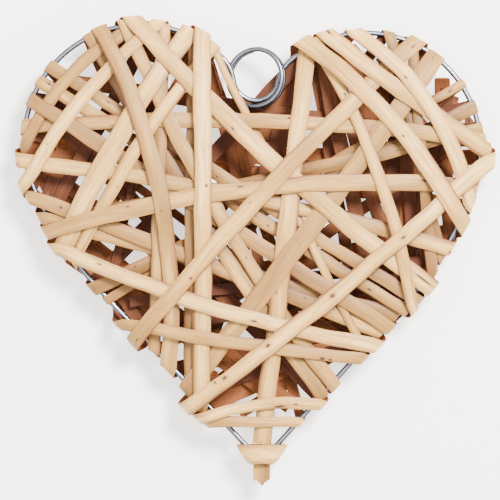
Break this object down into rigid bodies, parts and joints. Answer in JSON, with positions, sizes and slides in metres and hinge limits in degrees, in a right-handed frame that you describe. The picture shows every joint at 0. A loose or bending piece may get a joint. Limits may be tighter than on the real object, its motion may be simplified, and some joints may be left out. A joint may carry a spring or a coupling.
{
  "type": "woven heart ornament",
  "caption": "Heart wreath of peeled split willow strips wound over a bent steel wire, with a split ring at the notch to hang it by.",
  "frame": {"origin": "centre of the part's box in X and Y, on the surface that its back lies on", "axes": "+X to the right as seen from the front, +Y from the tip towards the two lobes, +Z out of the front face"},
  "size_m": [0.2036, 0.1976, 0.0284],
  "materials": {
    "willow": "peeled, split and dried willow, unvarnished",
    "steel": "plain bright drawn wire"
  },
  "bodies": {
    "root": {"heart_wire": "steel", "hanging_ring": "steel", "willow_strip_01": "willow", "willow_strip_02": "willow", "willow_strip_03": "willow", "willow_strip_04": "willow", "willow_strip_05": "willow", "willow_strip_06": "willow", "willow_strip_07": "willow", "willow_strip_08": "willow", "willow_strip_09": "willow", "willow_strip_10": "willow", "willow_strip_11": "willow", "willow_strip_12": "willow", "willow_strip_13": "willow", "willow_strip_14": "willow", "willow_strip_15": "willow", "willow_strip_16": "willow", "willow_strip_17": "willow", "willow_strip_18": "willow", "willow_strip_19": "willow", "willow_strip_20": "willow", "willow_strip_21": "willow", "willow_strip_22": "willow", "willow_strip_23": "willow", "willow_strip_24": "willow", "willow_strip_25": "willow", "willow_strip_26": "willow", "willow_strip_27": "willow", "willow_strip_28": "willow", "willow_strip_29": "willow", "willow_strip_30": "willow", "willow_strip_31": "willow", "willow_strip_32": "willow", "willow_strip_33": "willow", "willow_strip_34": "willow", "willow_strip_35": "willow", "willow_strip_36": "willow", "willow_strip_37": "willow", "tip_wrap": "willow", "tip_end_1": "willow", "tip_end_2": "willow", "tip_end_3": "willow"}
  },
  "joints": []
}
